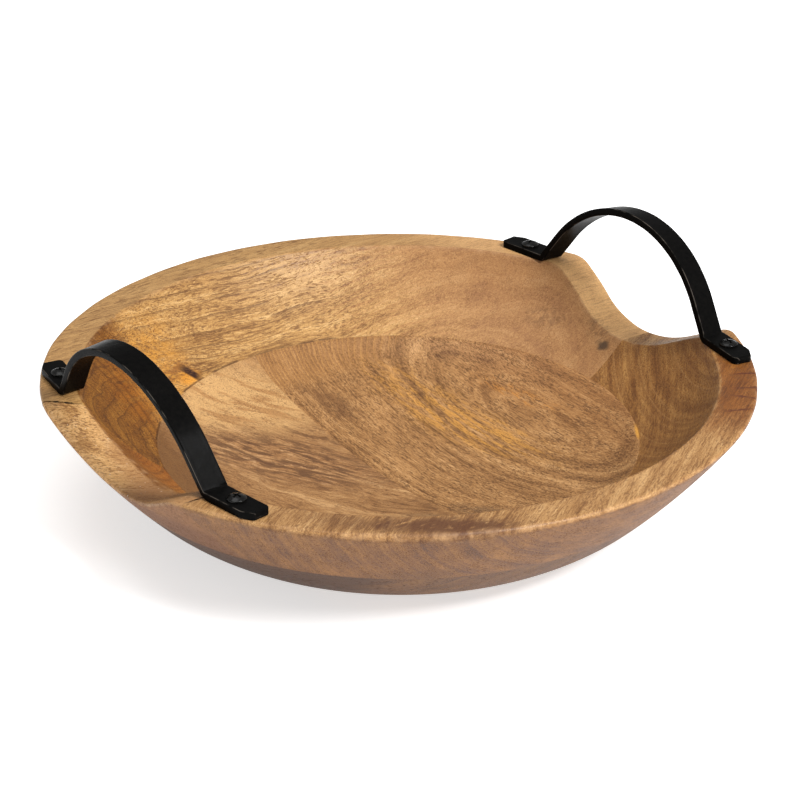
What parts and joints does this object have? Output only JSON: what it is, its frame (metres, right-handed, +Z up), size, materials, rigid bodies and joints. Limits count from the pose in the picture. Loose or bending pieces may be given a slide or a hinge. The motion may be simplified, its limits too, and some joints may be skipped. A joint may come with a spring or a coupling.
{
  "type": "wooden bowl with strap handles",
  "caption": "Shallow round bowl turned from glued wooden boards, scooped rim under two arched flat-bar strap handles screwed to the rim.",
  "frame": {"origin": "middle of the flat foot that the bowl stands on", "axes": "+Z up along the turning axis, +X through the right handle, +Y to the rear"},
  "size_m": [0.3288, 0.3494, 0.1164],
  "materials": {
    "pale_plank": "oiled satin, pale plank with brown figure",
    "brown_plank": "oiled satin, brown plank with oval growth rings",
    "front_block": "oiled satin",
    "rear_block": "oiled satin, honey coloured with dark lines",
    "left_block": "oiled satin, golden with short dark flecks",
    "black_enamel": "satin black enamel on flat iron bar",
    "black_screw": "black pan head"
  },
  "bodies": {
    "root": {"base_plank_left": "pale_plank", "base_plank_right": "brown_plank", "rim_block_front": "front_block", "rim_block_rear": "rear_block", "rim_block_left": "left_block", "strap_handle_left": "black_enamel", "strap_handle_right": "black_enamel", "screw_left_front": "black_screw", "screw_left_rear": "black_screw", "screw_right_front": "black_screw", "screw_right_rear": "black_screw"}
  },
  "joints": []
}
